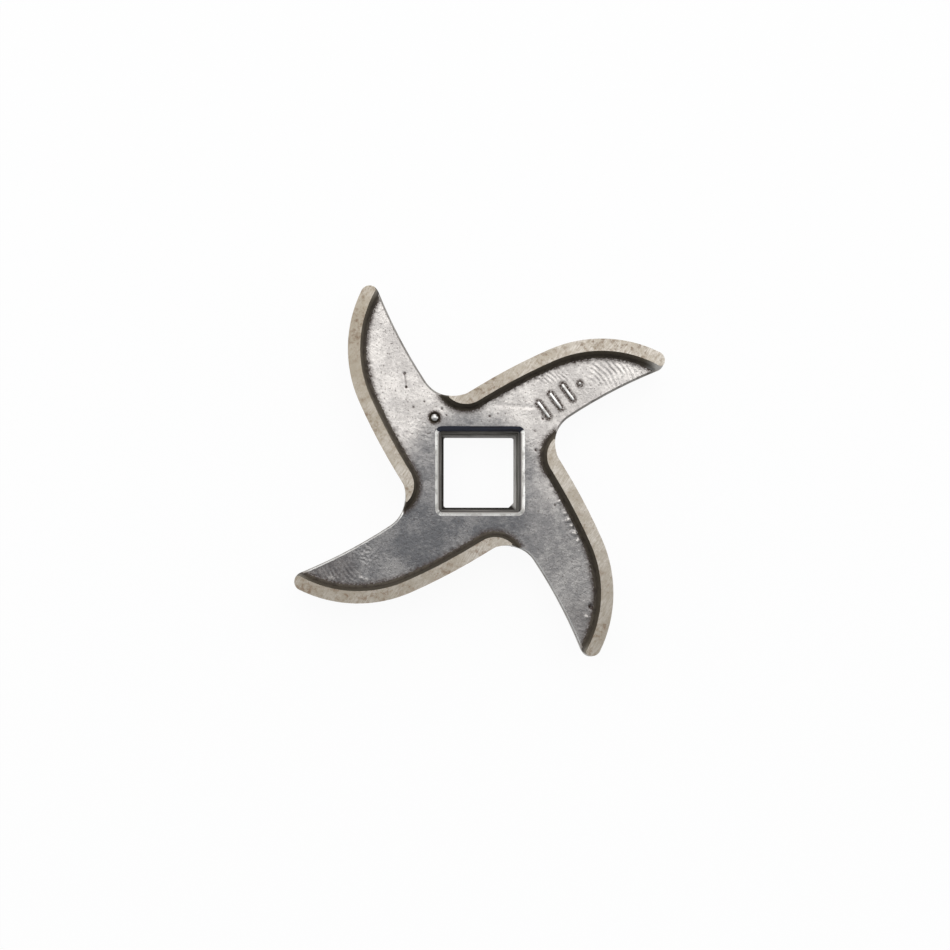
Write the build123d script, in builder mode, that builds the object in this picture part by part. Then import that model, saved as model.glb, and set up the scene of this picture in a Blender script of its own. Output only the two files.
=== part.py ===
from build123d import *
from math import radians, sin, tan
import os

# Four-armed grinder knife: one steel casting with ground blade lands.
# The square hole's axis is Z, the hub's back face lies on Z = 0 and the ground
# lands point up. X and Y run along the sides of the square hole. Millimetres.

# Plan of an arm, from the ground side. Its radial line leaves the hub's centre
# at the arm's angle, and the trailing edge just touches it.
arm_count = 4
first_arm_angle = 31.4
leading_offset = 15.5  # from the radial line to the straight start of the blade
straight_run = 8.9  # along the radial line, where that straight start ends
run_radius = 130.0  # the nearly straight stretch that follows
run_sweep = 7.5  # degrees
hook_radius = 27.9  # the hooked outer part of the blade
hook_sweep = 120.0  # degrees, more than the trailing edge leaves standing
trailing_radius = 109.0
trailing_touch = 26.2  # along the radial line, where the trailing edge touches it
nose_radius = 1.9
root_radius = 6.9

# Heights
thickness = 12.0
land_height = 2.8  # ground lands above the cast web
parting_height = 8.0  # mould line, where the cast sides are widest
hub_pad_radius = 17.0  # flat back that seats on the feed screw's shoulder
tip_lift = 2.0  # how far the arms' backs rise from the hub pad to the tips

# Blade lands
land_width = 2.6
wall_draft = 17.0  # degrees, the wall behind a land
foot_radius = 0.8
land_root_radius = 5.2  # where the wall behind a land runs out at its root
relief_angle = 12.0  # degrees, the blade face leans back under its land
relief_root_radius = 3.0
run_out = 0.45  # how far a cut passes the edge that it runs out over

# Cast sides
side_draft = 3.0  # degrees
trailing_break = 0.4  # broken corner along the trailing edges

# Square hole
tight_width = 15.2
tight_depth = 2.0  # straight stretch at the back
tight_corner = 0.5
flash_corner = 1.1  # one corner keeps a web of casting flash
ledge_width = 0.4  # all round, where the straight stretch opens into the cast hole
hole_draft = 6.0  # degrees
mouth_corner = 0.6
mouth_chamfer = 0.8

# Raised pip in a shallow dish, beside the hole
pip_x = -9.7
pip_y = 11.4
pip_radius = 0.8
pip_top_radius = 0.5
dish_radius = 1.25
dish_depth = 0.35

web_height = thickness - land_height
tip_reach = straight_run + run_radius * sin(radians(run_sweep)) + hook_radius


def pinwheel(height, inset=0.0, overrun=0.0, root=root_radius, nose=0.0):
    """The knife's plan, its leading edges moved in and its trailing edges moved out."""
    leading_line = leading_offset - inset
    foot = -2 * tip_reach
    with BuildSketch(mode=Mode.PRIVATE) as arm:
        with BuildLine():
            start = Line((-leading_offset / 4, leading_line), (straight_run, leading_line))
            run = JernArc(start @ 1, start % 1, run_radius - inset, -run_sweep)
            hook = JernArc(run @ 1, run % 1, hook_radius - inset, -hook_sweep)
            Polyline(hook @ 1, (0, foot), (-leading_offset / 4, foot), start @ 0)
        make_face()
        with Locations((trailing_touch, -trailing_radius)):
            Circle(trailing_radius - overrun, mode=Mode.SUBTRACT)
    with BuildSketch(Plane.XY.offset(height), mode=Mode.PRIVATE) as plan:
        with PolarLocations(0, arm_count, start_angle=first_arm_angle):
            add(arm.sketch)
        fillet(plan.vertices().sort_by_distance((0, 0, 0))[:arm_count], root)
        if nose > 0:
            fillet(plan.vertices().sort_by_distance((0, 0, 0))[-arm_count:], nose)
    return plan.sketch


def slab(plan, height, amount, lean):
    """The plan thickened from its own height, its sides leaning in away from it."""
    with BuildPart(mode=Mode.PRIVATE) as body:
        add(plan)
        extrude(amount=amount)
        sides = body.faces().filter_by(Axis.Z, reverse=True)
        draft(sides, Plane.XY.offset(height), lean if amount > 0 else -lean)
    return body.part


# Cast blank, drafted both ways from the mould line
blank_growth = (thickness - parting_height) * tan(radians(side_draft))
blank_nose = nose_radius + blank_growth
blank_plan = pinwheel(parting_height, -blank_growth, nose=blank_nose)
with BuildPart() as blank:
    add(slab(blank_plan, parting_height, thickness - parting_height, side_draft))
    add(slab(blank_plan, parting_height, -parting_height, side_draft))

# Envelope of the blade faces, leaning back under the lands
relief_overrun = thickness * tan(radians(relief_angle)) + run_out
relief_plan = pinwheel(thickness, overrun=relief_overrun, root=relief_root_radius)
with BuildPart() as relief:
    add(slab(relief_plan, thickness, -thickness, relief_angle))

# Hollow behind the lands, down to the web
wall_shrink = land_height * tan(radians(wall_draft))
foot_shrink = foot_radius * tan(radians(90 - wall_draft) / 2)
hollow_overrun = wall_shrink + foot_shrink + run_out
hollow_plan = pinwheel(thickness, land_width, hollow_overrun, land_root_radius)
with BuildPart() as hollow:
    add(slab(hollow_plan, thickness, -land_height, wall_draft))
    fillet(hollow.faces().sort_by(Axis.Z)[0].edges(), foot_radius)

with BuildPart() as knife:
    add(blank.part)
    add(relief.part, mode=Mode.INTERSECT)

    # Arms' backs rise from the hub pad to the tips
    back_run = tip_reach - hub_pad_radius
    with BuildSketch(Plane.XZ):
        with BuildLine():
            slope = Line((hub_pad_radius, 0), (hub_pad_radius + 2 * back_run, 2 * tip_lift))
            Polyline(slope @ 1, (hub_pad_radius + 2 * back_run, 0), slope @ 0)
        make_face()
    revolve(axis=Axis.Z, mode=Mode.SUBTRACT)

    # Lands stand up where the hollow is cut, and its floor runs out over broken corners
    add(hollow.part, mode=Mode.SUBTRACT)
    floor = knife.faces().filter_by(Axis.Z).sort_by(SortBy.AREA)[-1]
    steepest = 2 * sin(radians(side_draft))
    cast_sides = knife.faces().filter_by(lambda face: abs(face.normal_at().Z) < steepest)
    chamfer(floor.edges() & cast_sides.edges(), trailing_break)

    # Square hole, drafted from its mouth to a ledge above the tight stretch
    mouth_spread = (web_height - tight_depth) * tan(radians(hole_draft))
    mouth_width = tight_width + 2 * (ledge_width + mouth_spread)
    with BuildSketch(Plane.XY.offset(web_height)) as mouth:
        Rectangle(mouth_width, mouth_width)
        fillet(mouth.vertices(), mouth_corner)
    extrude(amount=tight_depth - web_height, taper=hole_draft, mode=Mode.SUBTRACT)
    with BuildSketch() as tight:
        Rectangle(tight_width, tight_width)
        sharp = tight.vertices().sort_by_distance((tight_width, -tight_width))
        chamfer(sharp[0], flash_corner)
        sharp = tight.vertices().sort_by_distance((tight_width, -tight_width))
        fillet(sharp[2:], tight_corner)
    extrude(amount=web_height, mode=Mode.SUBTRACT)
    floor = knife.faces().filter_by(Axis.Z).sort_by(SortBy.AREA)[-1]
    chamfer(floor.inner_wires()[0].edges(), mouth_chamfer)

    # Pip in its dish
    with Locations((pip_x, pip_y, web_height)):
        rim_down = (Align.CENTER, Align.CENTER, Align.MAX)
        Cone(dish_radius - dish_depth, dish_radius, dish_depth, align=rim_down, mode=Mode.SUBTRACT)
    with Locations((pip_x, pip_y, web_height - dish_depth)):
        rim_up = (Align.CENTER, Align.CENTER, Align.MIN)
        Cone(pip_radius, pip_top_radius, 1.5 * dish_depth, align=rim_up)

knife.part.label = "knife"
os.makedirs("parts", exist_ok=True)
export_step(knife.part, "parts/knife.step")
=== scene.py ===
from math import atan2, cos, exp, pi, radians, sin, sqrt

import bmesh
import bpy
from mathutils import Matrix, Vector, noise
from mathutils.kdtree import KDTree


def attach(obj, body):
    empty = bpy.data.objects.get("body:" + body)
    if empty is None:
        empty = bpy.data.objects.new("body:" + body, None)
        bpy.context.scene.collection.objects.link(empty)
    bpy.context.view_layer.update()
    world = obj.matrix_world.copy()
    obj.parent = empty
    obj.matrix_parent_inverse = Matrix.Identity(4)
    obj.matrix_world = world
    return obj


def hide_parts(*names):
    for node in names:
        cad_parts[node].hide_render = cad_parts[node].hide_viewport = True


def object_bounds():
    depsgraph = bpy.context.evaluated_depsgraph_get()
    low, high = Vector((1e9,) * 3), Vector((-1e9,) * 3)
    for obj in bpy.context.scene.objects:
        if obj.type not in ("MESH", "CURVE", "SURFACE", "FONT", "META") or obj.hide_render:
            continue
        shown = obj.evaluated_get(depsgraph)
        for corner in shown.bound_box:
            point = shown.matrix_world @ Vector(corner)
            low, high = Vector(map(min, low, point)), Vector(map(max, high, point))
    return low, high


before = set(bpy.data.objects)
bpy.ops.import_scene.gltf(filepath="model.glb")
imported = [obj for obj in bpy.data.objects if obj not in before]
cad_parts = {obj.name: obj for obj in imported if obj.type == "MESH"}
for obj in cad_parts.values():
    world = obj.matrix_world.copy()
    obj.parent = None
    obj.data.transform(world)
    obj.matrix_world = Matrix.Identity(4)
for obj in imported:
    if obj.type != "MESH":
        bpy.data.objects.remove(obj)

# Metres throughout. X and Y run along the sides of the square hole, and the
# ground lands look up along Z.
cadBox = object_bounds()
mm = 0.001


def smoothFade(value, start, end):
    part = min(max((value - start) / (end - start), 0.0), 1.0)
    return part * part * (3.0 - 2.0 * part)


def segmentGap(x, y, a, b):
    along = Vector((b[0] - a[0], b[1] - a[1]))
    offset = Vector((x - a[0], y - a[1]))
    part = min(max(offset.dot(along) / max(along.length_squared, 1e-12), 0.0), 1.0)
    return (offset - along * part).length


def newPiece(name, bm, materials):
    mesh = bpy.data.meshes.new(name)
    bm.to_mesh(mesh)
    bm.free()
    for material in materials:
        mesh.materials.append(material)
    piece = bpy.data.objects.new(name, mesh)
    bpy.context.scene.collection.objects.link(piece)
    return piece


def setSharpEdges(bm, angle):
    for face in bm.faces:
        face.smooth = True
    for edge in bm.edges:
        edge.smooth = len(edge.link_faces) == 2 and edge.calc_face_angle() < radians(angle)


def addNode(tree, kind, **settings):
    node = tree.nodes.new(kind)
    for name, value in settings.items():
        setattr(node, name, value)
    return node


def setInputs(node, **values):
    for name, value in values.items():
        node.inputs[name.replace("_", " ")].default_value = value
    return node


def newGroup(name, inputs, outputs):
    group = bpy.data.node_groups.new(name, "ShaderNodeTree")
    for label, kind, value in inputs:
        socket = group.interface.new_socket(name=label, in_out="INPUT", socket_type=kind)
        socket.default_value = value
    for label, kind in outputs:
        group.interface.new_socket(name=label, in_out="OUTPUT", socket_type=kind)
    return group, group.nodes.new("NodeGroupInput"), group.nodes.new("NodeGroupOutput")


def feed(tree, socket, value):
    if isinstance(value, bpy.types.NodeSocket):
        tree.links.new(value, socket)
    else:
        socket.default_value = value


def mixColors(tree, factor, first, second):
    mix = addNode(tree, "ShaderNodeMix", data_type="RGBA")
    feed(tree, mix.inputs[0], factor)
    feed(tree, mix.inputs[6], first)
    feed(tree, mix.inputs[7], second)
    return mix.outputs[2]


def maths(tree, operation, *values, clamp=False):
    node = addNode(tree, "ShaderNodeMath", operation=operation, use_clamp=clamp)
    for socket, value in zip(node.inputs, values):
        feed(tree, socket, value)
    return node.outputs[0]


def remap(tree, value, fromLow, fromHigh, toLow=0.0, toHigh=1.0):
    node = addNode(tree, "ShaderNodeMapRange", interpolation_type="SMOOTHSTEP")
    tree.links.new(value, node.inputs["Value"])
    setInputs(node, From_Min=fromLow, From_Max=fromHigh, To_Min=toLow, To_Max=toHigh)
    return node.outputs["Result"]


def noiseField(tree, coords, scale, detail, roughness):
    node = setInputs(addNode(tree, "ShaderNodeTexNoise"), Detail=detail, Roughness=roughness)
    feed(tree, node.inputs["Scale"], scale)
    tree.links.new(coords, node.inputs["Vector"])
    return node.outputs["Fac"]


def mapCoords(tree, coords, **values):
    node = setInputs(addNode(tree, "ShaderNodeMapping"), **values)
    tree.links.new(coords, node.inputs["Vector"])
    return node.outputs["Vector"]


def splitCoords(tree, coords):
    node = addNode(tree, "ShaderNodeSeparateXYZ")
    tree.links.new(coords, node.inputs[0])
    return node.outputs


# In all looks, a noise has a scale, a detail and a roughness. A range has the two
# values that turn into 0 and 1, or else the two that they turn into as well.
grainLooks = {
    "scale": 3500.0,
    "detail": 3.0,
    "roughness": 0.6,
    "hollowNoise": (2300.0, 2.0, 0.65),
    "hollowRange": (0.60, 0.69),
    "broadNoise": (260.0, 3.0, 0.6),
    "broadShare": 0.6,
    "smallNoise": (1500.0, 3.0, 0.7),
    "smallShare": 0.4,
}


def makeGrainGroup():
    # clumps of fine sand grain: a height for the bump, and a mask of the small dark hollows
    looks = grainLooks
    group, inside, outside = newGroup(
        "castGrain",
        [
            ("Vector", "NodeSocketVector", (0, 0, 0)),
            ("Grain Scale", "NodeSocketFloat", looks["scale"]),
        ],
        [
            ("Height", "NodeSocketFloat"),
            ("Hollows", "NodeSocketFloat"),
            ("Mottle", "NodeSocketFloat"),
        ],
    )
    vector = inside.outputs["Vector"]
    scale = inside.outputs["Grain Scale"]
    fine = noiseField(group, vector, scale, looks["detail"], looks["roughness"])
    speckle = noiseField(group, vector, *looks["hollowNoise"])
    broad = noiseField(group, vector, *looks["broadNoise"])
    small = noiseField(group, vector, *looks["smallNoise"])
    broad = maths(group, "MULTIPLY", broad, looks["broadShare"])
    small = maths(group, "MULTIPLY", small, looks["smallShare"])
    group.links.new(fine, outside.inputs["Height"])
    group.links.new(remap(group, speckle, *looks["hollowRange"]), outside.inputs["Hollows"])
    group.links.new(maths(group, "ADD", broad, small), outside.inputs["Mottle"])
    return group


soilLooks = {
    "steel": (0.6, 0.58, 0.55, 1),
    "steelRoughness": 0.4,
    "grime": (0.07, 0.05, 0.03, 1),
    "grimeRoughness": 0.62,
    "metalRange": (0.0, 1.0, 1.0, 0.25),
}


def makeSoilGroup():
    # brown shop grime over bare steel, where the soilAndShade attribute or the hollows hold it;
    # the same grime colour also paints shade where a mask carries it
    looks = soilLooks
    group, inside, outside = newGroup(
        "soiledSteel",
        [
            ("Steel", "NodeSocketColor", looks["steel"]),
            ("Steel Roughness", "NodeSocketFloat", looks["steelRoughness"]),
            ("Soil", "NodeSocketFloat", 0.0),
            ("Grime", "NodeSocketColor", looks["grime"]),
        ],
        [
            ("Color", "NodeSocketColor"),
            ("Roughness", "NodeSocketFloat"),
            ("Metallic", "NodeSocketFloat"),
        ],
    )
    soilAndShade = inside.outputs["Soil"]
    color = mixColors(group, soilAndShade, inside.outputs["Steel"], inside.outputs["Grime"])
    rough = addNode(group, "ShaderNodeMix", data_type="FLOAT")
    group.links.new(soilAndShade, rough.inputs[0])
    group.links.new(inside.outputs["Steel Roughness"], rough.inputs[2])
    rough.inputs[3].default_value = looks["grimeRoughness"]
    metal = remap(group, soilAndShade, *looks["metalRange"])
    group.links.new(color, outside.inputs["Color"])
    group.links.new(rough.outputs[0], outside.inputs["Roughness"])
    group.links.new(metal, outside.inputs["Metallic"])
    return group


grainGroup = makeGrainGroup()
soilGroup = makeSoilGroup()


def startMaterial(name):
    material = bpy.data.materials.new(name)
    material.use_nodes = True
    tree = material.node_tree
    shader = tree.nodes["Principled BSDF"]
    coords = addNode(tree, "ShaderNodeTexCoord").outputs["Object"]
    return material, tree, shader, coords


def placeGroup(tree, group, **links):
    node = addNode(tree, "ShaderNodeGroup", node_tree=group)
    for name, value in links.items():
        feed(tree, node.inputs[name.replace("_", " ")], value)
    return node


def addBump(tree, shader, height, depth):
    bump = setInputs(addNode(tree, "ShaderNodeBump"), Distance=depth)
    tree.links.new(height, bump.inputs["Height"])
    tree.links.new(bump.outputs["Normal"], shader.inputs["Normal"])


def readAttribute(tree, name):
    return addNode(tree, "ShaderNodeAttribute", attribute_name=name).outputs["Fac"]


def finishMaterial(tree, shader, looks, steel, soilAndShade, height, roughness):
    soiled = placeGroup(
        tree, soilGroup, Steel=steel, Steel_Roughness=roughness, Soil=soilAndShade, Grime=looks["grime"]
    )
    tree.links.new(soiled.outputs["Color"], shader.inputs["Base Color"])
    tree.links.new(soiled.outputs["Roughness"], shader.inputs["Roughness"])
    tree.links.new(soiled.outputs["Metallic"], shader.inputs["Metallic"])
    addBump(tree, shader, height, looks["grainDepth"])


webLooks = {
    "steel": (0.67, 0.635, 0.60, 1),
    "greySteel": (0.53, 0.50, 0.475, 1),
    "greyRange": (0.42, 0.58),
    "tarnishAndShadeTone": (0.15, 0.15, 0.155, 1),
    "tarnishAndShadeRange": (0.0, 0.5),
    "cloudRange": (0.38, 0.62, -0.11, 0.11),
    "grime": (0.055, 0.033, 0.024, 1),
    "breakupNoise": (2600.0, 3.0, 0.7),
    "breakupRange": (0.34, 0.62, 0.35, 1.35),
    "speckRange": (0.0, 1.0, 0.6, 0.45),
    "roughRange": (0.3, 0.7, 0.32, 0.42),
    "grainScale": 3300.0,
    "grainDepth": 0.04 * mm,
}


def makeWebMaterial():
    looks = webLooks
    material, tree, shader, coords = startMaterial("castWeb")
    grain = placeGroup(tree, grainGroup, Vector=coords, Grain_Scale=looks["grainScale"])
    mottle = grain.outputs["Mottle"]
    # tarnish, with painted shade on the hub and the two lower arms, which are darker where the
    # light falls off towards -Y
    tarnishAndShade = readAttribute(tree, "tarnishAndShade")
    grey = remap(tree, mottle, *looks["greyRange"])
    steel = mixColors(tree, grey, looks["steel"], looks["greySteel"])
    clouds = remap(tree, mottle, *looks["cloudRange"])
    clouds = maths(tree, "MULTIPLY", clouds, remap(tree, tarnishAndShade, *looks["tarnishAndShadeRange"]))
    tarnishAndShadeMask = maths(tree, "ADD", tarnishAndShade, clouds, clamp=True)
    steel = mixColors(tree, tarnishAndShadeMask, steel, looks["tarnishAndShadeTone"])
    breakup = remap(tree, noiseField(tree, coords, *looks["breakupNoise"]), *looks["breakupRange"])
    held = maths(tree, "MULTIPLY", readAttribute(tree, "soilAndShade"), breakup, clamp=True)
    strength = remap(tree, tarnishAndShade, *looks["speckRange"])
    specks = maths(tree, "MULTIPLY", grain.outputs["Hollows"], strength)
    mask = maths(tree, "MAXIMUM", held, specks, clamp=True)
    rough = remap(tree, mottle, *looks["roughRange"])
    finishMaterial(tree, shader, looks, steel, mask, grain.outputs["Height"], rough)
    return material


landLooks = {
    "steel": (0.62, 0.575, 0.515, 1),
    "lineSteel": (0.45, 0.4, 0.33, 1),
    "dullSteel": (0.33, 0.285, 0.22, 1),
    "grime": (0.2, 0.12, 0.065, 1),
    "lineAngle": 55.0,
    "lineStretch": (0.12, 1, 1),
    "lineNoise": (5200.0, 2.0, 0.6),
    "lineRange": (0.4, 0.66),
    "mottleRange": (0.42, 0.6),
    "stainNoise": (900.0, 4.0, 0.7),
    "stainRange": (0.48, 0.68),
    "stainStrength": 0.75,
    "patchNoise": (130.0, 2.0, 0.5),
    "patchRange": (0.38, 0.6),
    "speckStrength": 0.4,
    "roughness": 0.42,
    "grainScale": 3600.0,
    "grainDepth": 0.005 * mm,
    "grainShare": 0.6,
}


def makeLandMaterial():
    looks = landLooks
    material, tree, shader, coords = startMaterial("groundLand")
    turned = mapCoords(tree, coords, Rotation=(0, 0, -radians(looks["lineAngle"])))
    stretched = mapCoords(tree, turned, Scale=looks["lineStretch"])
    lines = noiseField(tree, stretched, *looks["lineNoise"])
    grain = placeGroup(tree, grainGroup, Vector=coords, Grain_Scale=looks["grainScale"])
    lined = remap(tree, lines, *looks["lineRange"])
    steel = mixColors(tree, lined, looks["steel"], looks["lineSteel"])
    mottled = remap(tree, grain.outputs["Mottle"], *looks["mottleRange"])
    steel = mixColors(tree, mottled, steel, looks["lineSteel"])
    steel = mixColors(tree, readAttribute(tree, "tarnishAndShade"), steel, looks["dullSteel"])
    stained = remap(tree, noiseField(tree, coords, *looks["stainNoise"]), *looks["stainRange"])
    patches = remap(tree, noiseField(tree, coords, *looks["patchNoise"]), *looks["patchRange"])
    stained = maths(tree, "MULTIPLY", stained, patches, clamp=True)
    stained = maths(tree, "MULTIPLY", stained, looks["stainStrength"])
    specks = maths(tree, "MULTIPLY", grain.outputs["Hollows"], looks["speckStrength"])
    mask = maths(tree, "MAXIMUM", stained, specks, clamp=True)
    fine = maths(tree, "MULTIPLY", grain.outputs["Height"], looks["grainShare"])
    height = maths(tree, "ADD", lines, fine)
    finishMaterial(tree, shader, looks, steel, mask, height, looks["roughness"])
    return material


wallLooks = {
    "steel": (0.17, 0.145, 0.105, 1),
    "barePatch": (0.36, 0.35, 0.33, 1),
    "bareRange": (0.0, 1.0, 1.0, 0.15),
    "grime": (0.035, 0.025, 0.016, 1),
    "depthRange": (12.0 * mm, 9.4 * mm),
    "depthStrength": 0.75,
    "streakNoise": (700.0, 3.0, 0.6),
    "streakRange": (0.4, 0.7, 0.0, 0.35),
    "roughness": 0.45,
    "grainScale": 3000.0,
    "grainDepth": 0.01 * mm,
}


def makeWallMaterial():
    looks = wallLooks
    # dark brown, darker towards the foot: partly grime, partly painted shade of walls turned away
    # from the light
    material, tree, shader, coords = startMaterial("landWall")
    grain = placeGroup(tree, grainGroup, Vector=coords, Grain_Scale=looks["grainScale"])
    depth = remap(tree, splitCoords(tree, coords)["Z"], *looks["depthRange"])
    streaks = remap(tree, noiseField(tree, coords, *looks["streakNoise"]), *looks["streakRange"])
    shine = readAttribute(tree, "bare")
    mask = maths(tree, "MULTIPLY", depth, looks["depthStrength"])
    mask = maths(tree, "ADD", mask, streaks, clamp=True)
    mask = maths(tree, "MULTIPLY", mask, remap(tree, shine, *looks["bareRange"]))
    steel = mixColors(tree, shine, looks["steel"], looks["barePatch"])
    height = grain.outputs["Height"]
    finishMaterial(tree, shader, looks, steel, mask, height, looks["roughness"])
    return material


sideLooks = {
    "steel": (0.42, 0.40, 0.375, 1),
    "dullSteel": (0.27, 0.25, 0.23, 1),
    "dullRange": (0.35, 0.65),
    "grime": (0.06, 0.042, 0.028, 1),
    "patchNoise": (420.0, 4.0, 0.65),
    "patchRange": (0.55, 0.75),
    "speckStrength": 0.7,
    "roughness": 0.45,
    "grainScale": 2600.0,
    "grainDepth": 0.03 * mm,
}


def makeSideMaterial():
    looks = sideLooks
    material, tree, shader, coords = startMaterial("castSide")
    grain = placeGroup(tree, grainGroup, Vector=coords, Grain_Scale=looks["grainScale"])
    dull = remap(tree, grain.outputs["Mottle"], *looks["dullRange"])
    steel = mixColors(tree, dull, looks["steel"], looks["dullSteel"])
    patches = remap(tree, noiseField(tree, coords, *looks["patchNoise"]), *looks["patchRange"])
    specks = maths(tree, "MULTIPLY", grain.outputs["Hollows"], looks["speckStrength"])
    mask = maths(tree, "MAXIMUM", patches, specks, clamp=True)
    height = grain.outputs["Height"]
    finishMaterial(tree, shader, looks, steel, mask, height, looks["roughness"])
    return material


bevelLooks = {
    "steel": (0.8, 0.79, 0.76, 1),
    "grime": (0.12, 0.09, 0.07, 1),
    "footRange": (0.15, 1.0, 0.0, 0.85),
    "dullNoise": (420.0, 3.0, 0.6),
    "dullRange": (0.46, 0.66, 0.0, 0.4),
    "speckStrength": 0.4,
    "roughness": 0.28,
    "grainScale": 3200.0,
    "grainDepth": 0.008 * mm,
}


def makeBevelMaterial():
    looks = bevelLooks
    material, tree, shader, coords = startMaterial("wornEdgeAndHighlight")
    grain = placeGroup(tree, grainGroup, Vector=coords, Grain_Scale=looks["grainScale"])
    # grime, with painted shade at the foot of the hole's chamfer
    foot = remap(tree, readAttribute(tree, "soilAndShade"), *looks["footRange"])
    dull = remap(tree, noiseField(tree, coords, *looks["dullNoise"]), *looks["dullRange"])
    specks = maths(tree, "MULTIPLY", grain.outputs["Hollows"], looks["speckStrength"])
    mask = maths(tree, "MAXIMUM", foot, maths(tree, "MAXIMUM", dull, specks))
    height = grain.outputs["Height"]
    finishMaterial(tree, shader, looks, looks["steel"], mask, height, looks["roughness"])
    return material


boreLooks = {
    "steel": (0.33, 0.315, 0.29, 1),
    "mouthShadeNavy": (0.05, 0.054, 0.072, 1),
    "mouthShadeRange": (6.4 * mm, 8.2 * mm),
    # painted light and painted shade on the ledge low in the hole: lit tone and shaded tone
    "ledge": (0.65, 0.63, 0.6, 1),
    "shadedLedge": (0.05, 0.045, 0.04, 1),
    "ledgeRange": (2.5 * mm, 2.05 * mm),
    "sideRange": (-0.5 * mm, 0.5 * mm),
    "grime": (0.03, 0.024, 0.02, 1),
    "grimeRange": (0.4, 0.7, 0.0, 0.8),
    "ledgeLightRange": (0.0, 1.0, 1.0, 0.3),
    "streakStretch": (0.12, 0.12, 1),
    "streakNoise": (1400.0, 3.0, 0.6),
    "speckStrength": 0.5,
    "roughness": 0.6,
    "sheen": 0.0,
    "grainScale": 2600.0,
    "grainDepth": 0.01 * mm,
}


def makeBoreMaterial():
    # drawn streaks across the walls of the hole, and painted shade of dark navy near its mouth
    looks = boreLooks
    material, tree, shader, coords = startMaterial("boreSkin")
    grain = placeGroup(tree, grainGroup, Vector=coords, Grain_Scale=looks["grainScale"])
    stretched = mapCoords(tree, coords, Scale=looks["streakStretch"])
    layers = noiseField(tree, stretched, *looks["streakNoise"])
    split = splitCoords(tree, coords)
    # painted shade: dark navy near the mouth, standing in for the dark reflection on the north
    # side of the chamfer
    mouth = remap(tree, split["Z"], *looks["mouthShadeRange"])
    # painted light and shade on the ledge: lit on the north-east half, shaded on the south-west
    # half
    ledge = remap(tree, split["Z"], *looks["ledgeRange"])
    litSides = remap(tree, maths(tree, "ADD", split["X"], split["Y"]), *looks["sideRange"])
    ledgeLightAndShade = mixColors(tree, litSides, looks["shadedLedge"], looks["ledge"])
    steel = mixColors(tree, mouth, looks["steel"], looks["mouthShadeNavy"])
    steel = mixColors(tree, ledge, steel, ledgeLightAndShade)
    specks = maths(tree, "MULTIPLY", grain.outputs["Hollows"], looks["speckStrength"])
    mask = maths(tree, "MAXIMUM", remap(tree, layers, *looks["grimeRange"]), specks)
    # painted light: less grime on the ledge, so that it reads lit
    mask = maths(tree, "MULTIPLY", mask, remap(tree, ledge, *looks["ledgeLightRange"]))
    tree.links.new(mixColors(tree, mask, steel, looks["grime"]), shader.inputs["Base Color"])
    setInputs(shader, Roughness=looks["roughness"], Specular_IOR_Level=looks["sheen"])
    addBump(tree, shader, grain.outputs["Height"], looks["grainDepth"])
    return material


castWeb = makeWebMaterial()
groundLand = makeLandMaterial()
landWall = makeWallMaterial()
castSide = makeSideMaterial()
wornEdgeAndHighlight = makeBevelMaterial()
boreSkin = makeBoreMaterial()

# The casting's materials, by the finish that a face takes
finishes = {
    "web": castWeb, "land": groundLand, "wall": landWall,
    "side": castSide, "edge": wornEdgeAndHighlight, "bore": boreSkin,
}
print("materials are made")

knifeSizes = {
    "landHeight": 12.0 * mm,
    "webHeight": 9.2 * mm,
    "gridPitch": 0.2 * mm,
    "holeReach": 9.7 * mm,  # half the square that holds the hole with its chamfer
    "swellDepth": 0.03 * mm,
    "swellSize": 7.0 * mm,
    "grainDepth": 0.018 * mm,
    "grainSize": 0.55 * mm,
    "wobble": 0.35 * mm,  # of the ripples' rings
    "wobbleSize": 2.3 * mm,
    "waningSize": 1.6 * mm,  # stretches where the ripples wane
    "roughSize": 0.42 * mm,
    "bandDepth": 0.05 * mm,  # rough skin along the foot of the walls
    "bandSize": 0.5 * mm,
    "bandWidth": 1.4 * mm,
    "soilReach": 1.35 * mm,
    "upperBandDepth": 0.25 * mm,  # height of the upper band on the broken edges, bright on the two lower arms as a painted highlight
}

# Ripples frozen in the casting's skin: centre of the rings, middle of the patch, its reach
ripples = [
    {
        "centre": (21.5, 16.5), "middle": (28.6, 21.2),
        "reach": (6.2, 3.6), "pitch": 0.98, "depth": 0.05,
    },
    {
        "centre": (9.0, 13.5), "middle": (15.6, 20.2),
        "reach": (4.2, 1.7), "pitch": 0.8, "depth": 0.035,
    },
    {
        "centre": (-21.5, -16.0), "middle": (-30.0, -21.9),
        "reach": (4.4, 3.0), "pitch": 0.9, "depth": 0.036,
    },
]

# Rough patches: middle, reach and depth
roughPatches = [
    {"middle": (-24.6, -17.4), "reach": 3.2, "depth": 0.1},
    {"middle": (-21.0, -21.5), "reach": 3.2, "depth": 0.03},
    {"middle": (11.8, 5.5), "reach": 3.4, "depth": 0.03},
    {"middle": (-11.5, 9.5), "reach": 3.6, "depth": 0.022},
    {"middle": (-17.0, 12.5), "reach": 3.4, "depth": 0.022},
    {"middle": (-14.0, 8.0), "reach": 4.5, "depth": 0.035},
    {"middle": (22.5, 17.5), "reach": 3.5, "depth": 0.03},
]

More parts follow.
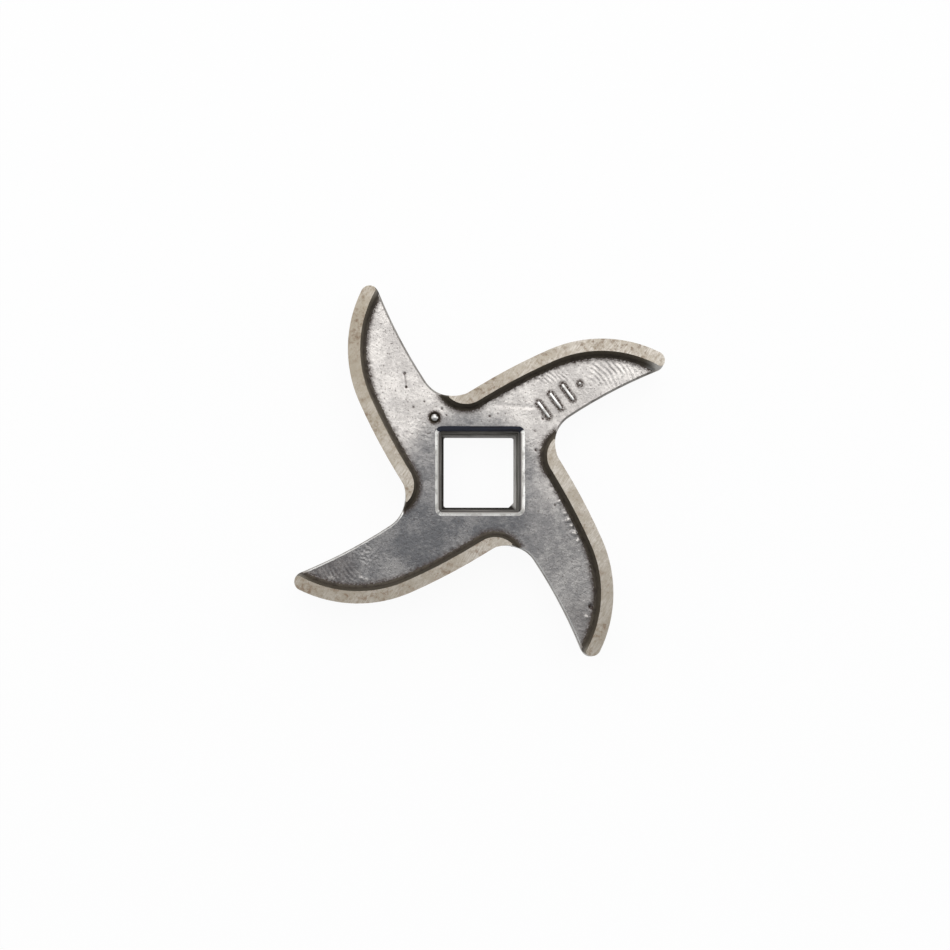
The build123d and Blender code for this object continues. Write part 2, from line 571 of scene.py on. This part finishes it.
# Gas pits and beads on the skin: place, radius, and depth or height
pits = [
    {"at": (-16.1, 20.8), "radius": 0.3, "depth": 0.22},
    {"at": (-15.75, 17.9), "radius": 0.28, "depth": 0.2},
    {"at": (-14.2, 13.6), "radius": 0.24, "depth": 0.14},
    {"at": (-11.9, 14.8), "radius": 0.2, "depth": 0.1},
    {"at": (-8.1, 13.3), "radius": 0.24, "depth": 0.14},
    {"at": (-7.2, 11.9), "radius": 0.18, "depth": 0.1},
    {"at": (2.1, 11.7), "radius": 0.26, "depth": 0.12},
    {"at": (13.4, 11.2), "radius": 0.24, "depth": 0.12},
    {"at": (11.9, 4.5), "radius": 0.26, "depth": 0.14},
    {"at": (11.7, 8.6), "radius": 0.22, "depth": 0.1},
    {"at": (5.2, -13.6), "radius": 0.26, "depth": 0.12},
    {"at": (23.7, -28.9), "radius": 0.62, "depth": 0.4},
    {"at": (16.0, -7.2), "radius": 0.22, "depth": 0.1},
]
beads = [
    {"at": (17.0, -6.4), "radius": 0.45, "height": 0.2},
    {"at": (18.2, -9.0), "radius": 0.35, "height": 0.14},
    {"at": (18.9, -10.4), "radius": 0.5, "height": 0.22},
    {"at": (19.5, -11.7), "radius": 0.42, "height": 0.2},
    {"at": (20.2, -13.3), "radius": 0.55, "height": 0.24},
    {"at": (20.9, -14.8), "radius": 0.42, "height": 0.18},
    {"at": (22.6, -31.0), "radius": 0.35, "height": 0.14},
    {"at": (-31.5, -22.9), "radius": 0.5, "height": 0.09},
    {"at": (-29.1, -23.7), "radius": 0.34, "height": 0.08},
    {"at": (-25.2, -22.8), "radius": 0.5, "height": 0.07},
    {"at": (-24.3, -23.1), "radius": 0.45, "height": 0.07},
    {"at": (-15.4, 0.6), "radius": 0.3, "height": 0.14},
    {"at": (-13.9, -1.8), "radius": 0.3, "height": 0.14},
]
scratch = {"from": (-16.05, 20.4), "to": (-15.75, 18.3), "width": 0.16, "depth": 0.07}
crease = {"from": (4.0, 14.1), "to": (13.0, 13.5), "width": 0.45, "depth": 0.035}

markSizes = {
    "middle": (17.45, 15.95),
    "lineAngle": 36.0,
    "spacing": 3.2,
    "barLength": 4.2,
    "barWidth": 0.6,
    "rise": 0.35,
    "crownRadius": 0.13,
}
pipSizes = {"at": (-9.7, 11.4), "dishRadius": 1.25, "domeRadius": 0.95, "sink": 0.62}


def markBars():
    along = Vector((cos(radians(markSizes["lineAngle"])), sin(radians(markSizes["lineAngle"]))))
    across = Vector((-along.y, along.x))
    half = (markSizes["barLength"] - markSizes["barWidth"]) / 2
    middle = Vector(markSizes["middle"])
    bars = []
    for step in (-1.5, -0.5, 0.5):
        place = middle + along * (step * markSizes["spacing"])
        bars.append((place - across * half, place + across * half))
    dot = middle + along * (1.5 * markSizes["spacing"])
    bars.append((dot, dot + across * 0.01))
    return bars


def halveFaces(bm, faces, axis, low, high, pitch):
    # cut the faces across the middle, then each half in turn, down to strips one pitch wide
    count = round((high - low) / pitch)
    if count < 2 or not faces:
        return
    middle = low + (count // 2) * pitch
    point, normal = Vector((0, 0, 0)), Vector((0, 0, 0))
    point[axis], normal[axis] = middle, 1.0
    region = dict.fromkeys(faces)
    for face in faces:
        region.update(dict.fromkeys([*face.edges, *face.verts]))
    cut = bmesh.ops.bisect_plane(bm, geom=list(region), dist=1e-8, plane_co=point, plane_no=normal)
    below, above = [], []
    for item in cut["geom"]:
        if isinstance(item, bmesh.types.BMFace):
            side = above if item.calc_center_bounds()[axis] > middle else below
            side.append(item)
    halveFaces(bm, below, axis, low, middle, pitch)
    halveFaces(bm, above, axis, middle, high, pitch)


def webFaces(bm):
    height = knifeSizes["webHeight"]
    return [
        face for face in bm.faces
        if face.normal.z > 0.9999 and abs(face.calc_center_bounds().z - height) < 0.002 * mm
    ]


def gridWeb(bm):
    # one clean face for the flat web, then an even grid across it
    flat = set(webFaces(bm))
    inner = [edge for edge in bm.edges if all(face in flat for face in edge.link_faces)]
    bmesh.ops.dissolve_edges(bm, edges=inner, use_verts=False, use_face_split=False)
    low, high = cadBox
    pitch = knifeSizes["gridPitch"]
    for axis in (0, 1):
        steps = int((high[axis] - low[axis]) / pitch) + 1
        halveFaces(bm, webFaces(bm), axis, low[axis], low[axis] + steps * pitch, pitch)
    many = [face for face in webFaces(bm) if len(face.verts) > 4]
    bmesh.ops.triangulate(bm, faces=many)


def splitBrokenEdges(bm):
    # the broken edges in two bands, an upper one, bright on the two lower arms as a painted
    # highlight, over a dark one
    height = knifeSizes["webHeight"]
    region = {}
    for face in bm.faces:
        if 0.3 < face.normal.z < 0.95 and height - 0.5 * mm < face.calc_center_median().z < height:
            region.update(dict.fromkeys([face, *face.edges, *face.verts]))
    level = (0, 0, height - knifeSizes["upperBandDepth"])
    bmesh.ops.bisect_plane(bm, geom=list(region), dist=1e-8, plane_co=level, plane_no=(0, 0, 1))


def wallFootTree(bm):
    # points along the foot of the walls, to tell how near the web's skin is to them
    foot = []
    for face in bm.faces:
        middle = face.calc_center_median()
        steep = 0.15 < face.normal.z < 0.97
        inside = max(abs(middle.x), abs(middle.y)) < knifeSizes["holeReach"]
        if steep and not inside and middle.z > knifeSizes["webHeight"] + 0.05 * mm:
            foot.append(min(face.verts, key=lambda vert: vert.co.z).co)
            longest = max(face.edges, key=lambda edge: edge.calc_length())
            foot.append((longest.verts[0].co + longest.verts[1].co) / 2)
    tree = KDTree(len(foot))
    for index, point in enumerate(foot):
        tree.insert((point.x, point.y, 0), index)
    tree.balance()
    return tree


def beadGap(x, y, bead):
    # distance from a bead's middle in its radii, made ragged
    ragged = 1.0 + 0.8 * noise.noise(Vector((x, y, 0.0)) / 0.32 + Vector((4, 4, 8)))
    return (Vector((x, y)) - Vector(bead["at"])).length / bead["radius"] * ragged


def skinNoise(spot, sizeName, seed):
    return noise.noise(spot / (knifeSizes[sizeName] / mm) + Vector(seed))


def skinRelief(x, y, footGap):
    # height of the casting's skin in millimetres, at a place in millimetres
    spot = Vector((x, y, 0.0))
    height = knifeSizes["swellDepth"] / mm * skinNoise(spot, "swellSize", (0, 0, 0))
    height += knifeSizes["grainDepth"] / mm * skinNoise(spot, "grainSize", (7, 3, 1))
    band = 1.0 - smoothFade(footGap, 0.2, knifeSizes["bandWidth"] / mm)
    height += band * knifeSizes["bandDepth"] / mm * skinNoise(spot, "bandSize", (2, 9, 4))
    for ripple in ripples:
        away = spot.xy - Vector(ripple["middle"])
        reachX, reachY = ripple["reach"]
        fade = 1.0 - smoothFade(sqrt((away.x / reachX) ** 2 + (away.y / reachY) ** 2), 0.6, 1.1)
        if fade > 0:
            wobble = knifeSizes["wobble"] / mm * skinNoise(spot, "wobbleSize", (5, 5, 5))
            ring = (spot.xy - Vector(ripple["centre"])).length + wobble
            strength = 0.7 + 0.9 * skinNoise(spot, "waningSize", (1, 8, 2))
            wave = sin(2 * pi * ring / ripple["pitch"])
            height += fade * max(strength, 0.15) * ripple["depth"] * wave
    for patch in roughPatches:
        gap = (spot.xy - Vector(patch["middle"])).length / patch["reach"]
        fade = 1.0 - smoothFade(gap, 0.4, 1.0)
        if fade > 0:
            height += fade * patch["depth"] * skinNoise(spot, "roughSize", (3, 1, 6))
    for pit in pits:
        gap = (spot.xy - Vector(pit["at"])).length / pit["radius"]
        height -= pit["depth"] * exp(-gap * gap * 1.6)
    for bead in beads:
        gap = beadGap(x, y, bead)
        height += bead["height"] * exp(-gap * gap * 1.6)
    for line in (scratch, crease):
        gap = segmentGap(x, y, line["from"], line["to"]) / line["width"]
        height -= line["depth"] * exp(-gap * gap)
    return height


def skinSoil(x, y, footGap):
    # how much grime the skin holds at a place in millimetres, from 0 to 1
    soilAndShade = (1.0 - smoothFade(footGap, -0.2, knifeSizes["soilReach"] / mm)) ** 1.3
    pipGap = (Vector((x, y)) - Vector(pipSizes["at"])).length
    soilAndShade = max(soilAndShade, 1.0 - smoothFade(pipGap, 1.15, 1.9))
    for pit in pits:
        gap = (Vector((x, y)) - Vector(pit["at"])).length
        soilAndShade = max(soilAndShade, 1.0 - smoothFade(gap, pit["radius"] * 0.5, pit["radius"] * 1.5))
    scratchGap = segmentGap(x, y, scratch["from"], scratch["to"])
    soilAndShade = max(soilAndShade, 0.5 * (1.0 - smoothFade(scratchGap, 0.02, 0.3)))
    for start, end in markBars():
        gap = segmentGap(x, y, start, end) - markSizes["barWidth"] / 2
        soilAndShade = max(soilAndShade, 0.95 * (1.0 - smoothFade(gap, 0.2, 1.05)))
    return max(soilAndShade, spotCover(x, y, washes))


def beadFade(x, y):
    # down to 0 on the highest beads, which are rubbed bright
    fade = 1.0
    for bead in beads:
        rub = min(bead["height"] / 0.2, 1.0)
        fade *= 1.0 - rub * (1.0 - smoothFade(beadGap(x, y, bead), 0.6, 1.2))
    return fade


# Tarnish and painted shade: the hub's disc and the two lower arms darkened as tarnish and as
# painted shade for light that falls off towards -Y, and tarnish on the ground lands of single arms
tarnishAndShadeSpots = [
    {"middle": (-1.5, -1.5), "reach": (11.5, 17.0), "depth": 0.77},
    {"middle": (-26.0, -20.0), "reach": (14.0, 25.0), "depth": 0.77},
    {"middle": (16.0, -24.0), "reach": (13.0, 24.0), "depth": 0.58},
    {"middle": (-2.0, -16.0), "reach": (8.0, 16.0), "depth": 0.65},
    {"middle": (-14.0, -12.0), "reach": (3.0, 10.0), "depth": 0.85},
    {"middle": (-31.0, -22.0), "reach": (3.0, 10.0), "depth": 0.15},
    {"middle": (14.0, -14.0), "reach": (2.0, 8.0), "depth": 0.2},
]
landTarnishes = [
    {"middle": (-27.0, 27.0), "reach": (4.0, 22.0), "depth": 0.75},
    {"middle": (-22.0, 8.0), "reach": (3.0, 12.0), "depth": 0.3},
    {"middle": (-28.0, -28.0), "reach": (14.0, 34.0), "depth": 0.4},
    {"middle": (27.0, -34.0), "reach": (6.0, 18.0), "depth": 0.3},
    {"middle": (2.0, 17.0), "reach": (4.0, 12.0), "depth": 0.3},
]

# A thin brown wash over the skin, and walls rubbed bare
washes = [
    {"middle": (-32.5, -21.5), "reach": (3.0, 9.0), "depth": 0.34},
    {"middle": (22.0, -33.0), "reach": (2.0, 8.0), "depth": 0.2},
    {"middle": (18.0, 15.0), "reach": (3.0, 7.0), "depth": 0.12},
]
bareWalls = [{"middle": (37.8, 21.6), "reach": (1.0, 3.4), "depth": 1.0}]


def spotCover(x, y, spots):
    clean = 1.0
    for spot in spots:
        gap = (Vector((x, y)) - Vector(spot["middle"])).length
        clean *= 1.0 - spot["depth"] * (1.0 - smoothFade(gap, spot["reach"][0], spot["reach"][1]))
    return 1.0 - clean


def faceFinish(face):
    sizes = knifeSizes
    web = sizes["webHeight"]
    middle = face.calc_center_median()
    inside = max(abs(middle.x), abs(middle.y)) < sizes["holeReach"]
    nearPip = (middle.xy / mm - Vector(pipSizes["at"])).length < pipSizes["dishRadius"] + 0.02
    if face.normal.z > 0.999 and middle.z > sizes["landHeight"] - 0.01 * mm:
        return "land"
    if nearPip and middle.z < sizes["landHeight"] - 1.0 * mm:
        return "wall"
    if inside and middle.z < web - 0.001 * mm:
        # by which way the mouth's chamfer faces: its north side takes the dark bore finish as
        # painted shade, the other sides the bright edge finish
        mouth = 0.5 < face.normal.z < 0.9 and middle.z > web - 1.0 * mm
        return "edge" if mouth and face.normal.y > -0.3 else "bore"
    if face.normal.z > 0.97 and abs(middle.z - web) < 0.02 * mm:
        return "web"
    if face.normal.z > 0.15 and middle.z > web:
        return "wall"
    # painted highlight: the upper band takes the bright edge finish only on the two lower arms,
    # whose edges face the light; elsewhere the side finish
    rubbed = face.normal.z > 0.3 and middle.z > web - sizes["upperBandDepth"]
    return "edge" if rubbed and middle.y < 0 else "side"


def makeKnife():
    bm = bmesh.new()
    bm.from_mesh(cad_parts["knife"].data)
    bmesh.ops.remove_doubles(bm, verts=bm.verts, dist=0.0005 * mm)
    bm.normal_update()
    footTree = wallFootTree(bm)
    gridWeb(bm)
    splitBrokenEdges(bm)
    bm.normal_update()
    web = webFaces(bm)
    order = list(finishes)
    for face in bm.faces:
        face.material_index = order.index(faceFinish(face))
    soilAndShadeLayer = bm.verts.layers.float.new("soilAndShade")
    tarnishAndShadeLayer = bm.verts.layers.float.new("tarnishAndShade")
    bareLayer = bm.verts.layers.float.new("bare")
    skin = {vert for face in web for vert in face.verts}
    for vert in bm.verts:
        x, y = vert.co.x / mm, vert.co.y / mm
        footGap = footTree.find((vert.co.x, vert.co.y, 0))[2] / mm
        rubbed = beadFade(x, y)
        vert[soilAndShadeLayer] = rubbed * skinSoil(x, y, footGap)
        # painted shade: full low in the hole, which darkens the foot of the mouth's chamfer
        if vert.co.z < knifeSizes["webHeight"] - 0.6 * mm:
            vert[soilAndShadeLayer] = 1.0
        onLand = vert.co.z > knifeSizes["landHeight"] - 0.01 * mm
        # tarnish, with painted shade on the hub and the two lower arms
        vert[tarnishAndShadeLayer] = rubbed * spotCover(x, y, landTarnishes if onLand else tarnishAndShadeSpots)
        vert[bareLayer] = spotCover(x, y, bareWalls)
        if vert in skin:
            vert.co.z += skinRelief(x, y, footGap) * mm
    bm.normal_update()
    setSharpEdges(bm, 32.0)
    piece = newPiece("castKnife", bm, finishes.values())
    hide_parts("knife")
    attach(piece, "root")
    return piece


knife = makeKnife()
print("knife is made:", len(knife.data.polygons), "faces")


def makePip():
    # small dome left by the mould, standing in its dish, its top in the bright edge finish as a
    # painted highlight and its sides in the dark wall finish as painted shade
    bm = bmesh.new()
    radius = pipSizes["domeRadius"] * mm
    bmesh.ops.create_uvsphere(bm, u_segments=40, v_segments=24, radius=radius)
    x, y = pipSizes["at"]
    z = knifeSizes["webHeight"] - pipSizes["sink"] * mm
    bmesh.ops.translate(bm, verts=bm.verts, vec=(x * mm, y * mm, z))
    bm.normal_update()
    for face in bm.faces:
        face.smooth = True
        # painted highlight on the top faces, painted shade on the side faces
        face.material_index = 0 if face.normal.z > 0.62 else 1
    piece = newPiece("castPip", bm, [wornEdgeAndHighlight, landWall])
    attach(piece, "root")


def makeCastingMark():
    # plain raised bars and a dot that tell the mould's cavity
    bm = bmesh.new()
    sizes = markSizes
    height = sizes["rise"] * mm
    width = sizes["barWidth"] * mm
    for start, end in markBars():
        length = (end - start).length * mm + width
        direction = end - start if end != start else Vector((0, 1))
        bar = bmesh.ops.create_cube(bm, size=1.0)["verts"]
        bmesh.ops.scale(bm, verts=bar, vec=(width, length, 2 * height))
        corners = [edge for edge in bm.edges if edge.verts[0].co.z * edge.verts[1].co.z < 0]
        bmesh.ops.bevel(
            bm, geom=corners, offset=0.48 * width, offset_type="OFFSET", affect="EDGES",
            segments=5, profile=0.5, material=-1,
        )
        bar = [vert for vert in bm.verts if abs(vert.co.z) < 2 * height]
        turn = Matrix.Rotation(atan2(direction.y, direction.x) - pi / 2, 4, "Z")
        bmesh.ops.rotate(bm, verts=bar, cent=(0, 0, 0), matrix=turn)
        middle = (start + end) / 2 * mm
        bmesh.ops.translate(bm, verts=bar, vec=(middle.x, middle.y, knifeSizes["webHeight"]))
    crown = knifeSizes["webHeight"] + 0.9 * height
    tops = [edge for edge in bm.edges if all(vert.co.z > crown for vert in edge.verts)]
    bmesh.ops.bevel(
        bm, geom=tops, offset=sizes["crownRadius"] * mm, offset_type="OFFSET", affect="EDGES",
        segments=3, profile=0.5, material=-1,
    )
    bmesh.ops.recalc_face_normals(bm, faces=bm.faces)
    setSharpEdges(bm, 50.0)
    piece = newPiece("castingMark", bm, [wornEdgeAndHighlight])
    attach(piece, "root")


makePip()
makeCastingMark()
print("pip and casting mark are made")

stageSizes = {
    "floorWidth": 6.0,
    "floorDrop": 0.05 * mm,
    "floorColor": (0.9, 0.9, 0.9, 1),
    "floorRoughness": 0.8,
    "cameraWhite": 0.94,
    "worldColor": (0.93, 0.96, 1.0, 1),
    "worldStrength": 0.32,
}


def makeFloor():
    bm = bmesh.new()
    bmesh.ops.create_grid(bm, x_segments=1, y_segments=1, size=stageSizes["floorWidth"] / 2)
    bmesh.ops.translate(bm, verts=bm.verts, vec=(0, 0, -stageSizes["floorDrop"]))
    material = bpy.data.materials.new("paleFloor")
    material.use_nodes = True
    tree = material.node_tree
    shader = tree.nodes["Principled BSDF"]
    setInputs(shader, Base_Color=stageSizes["floorColor"], Roughness=stageSizes["floorRoughness"])
    glow = setInputs(addNode(tree, "ShaderNodeEmission"), Color=(1, 1, 1, 1), Strength=1.0)
    path = addNode(tree, "ShaderNodeLightPath")
    seen = maths(tree, "MAXIMUM", path.outputs["Is Camera Ray"], path.outputs["Is Glossy Ray"])
    seen = maths(tree, "MAXIMUM", seen, path.outputs["Is Transmission Ray"])
    mix = addNode(tree, "ShaderNodeMixShader")
    tree.links.new(maths(tree, "MULTIPLY", seen, stageSizes["cameraWhite"]), mix.inputs[0])
    tree.links.new(shader.outputs[0], mix.inputs[1])
    tree.links.new(glow.outputs[0], mix.inputs[2])
    tree.links.new(mix.outputs[0], tree.nodes["Material Output"].inputs["Surface"])
    floor = newPiece("floor", bm, [material])


makeFloor()

world = bpy.data.worlds.new("studio")
bpy.context.scene.world = world
world.use_nodes = True
background = world.node_tree.nodes["Background"]
setInputs(background, Color=stageSizes["worldColor"], Strength=stageSizes["worldStrength"])

# Place, aim, width, height and radiance of each softbox
softboxes = {
    "overhead": {
        "at": (0.05, 0.66, 1.05), "aim": (0.05, 0.62, 0.0),
        "size": (1.9, 1.2), "radiance": 1.7,
    },
    "left": {
        "at": (-1.1, 0.15, 0.35), "aim": (0, 0, 0.05),
        "size": (1.2, 0.6), "radiance": 1.3,
    },
    "right": {
        "at": (1.1, 0.15, 0.35), "aim": (0, 0, 0.05),
        "size": (1.2, 0.6), "radiance": 1.3,
    },
    "far": {
        "at": (0.0, 1.2, 0.35), "aim": (0, 0, 0.05),
        "size": (1.4, 0.6), "radiance": 1.3,
    },
}


def makeSoftbox(name, looks):
    width, height = looks["size"]
    data = bpy.data.lights.new(name, "AREA")
    data.shape = "RECTANGLE"
    data.size, data.size_y = width, height
    data.energy = looks["radiance"] * pi * width * height
    light = bpy.data.objects.new(name, data)
    bpy.context.scene.collection.objects.link(light)
    place = Vector(looks["at"])
    light.location = place
    light.rotation_euler = (Vector(looks["aim"]) - place).to_track_quat("-Z", "Y").to_euler()


for name, looks in softboxes.items():
    makeSoftbox(name, looks)

cameraSetup = {
    "at": (-18.6 * mm, -22.0 * mm, 482.0 * mm),
    "aim": (-1.19 * mm, -0.98 * mm, 12.0 * mm),
    "fieldWidth": 201.2 * mm,  # width seen at the aim point
}


def makeCamera():
    data = bpy.data.cameras.new("camera")
    place, aim = Vector(cameraSetup["at"]), Vector(cameraSetup["aim"])
    back = (place - aim).normalized()
    right = Vector((0, 1, 0)).cross(back).normalized()
    up = back.cross(right)
    data.sensor_fit = "HORIZONTAL"
    data.sensor_width = 36.0
    data.lens = 36.0 * (place - aim).length / cameraSetup["fieldWidth"]
    data.clip_start = 0.01
    camera = bpy.data.objects.new("camera", data)
    turn = Matrix((right, up, back)).transposed()
    camera.matrix_world = Matrix.Translation(place) @ turn.to_4x4()
    bpy.context.scene.collection.objects.link(camera)
    bpy.context.scene.camera = camera


makeCamera()
bpy.context.scene.view_settings.view_transform = "Standard"
print("stage, light and camera are set")
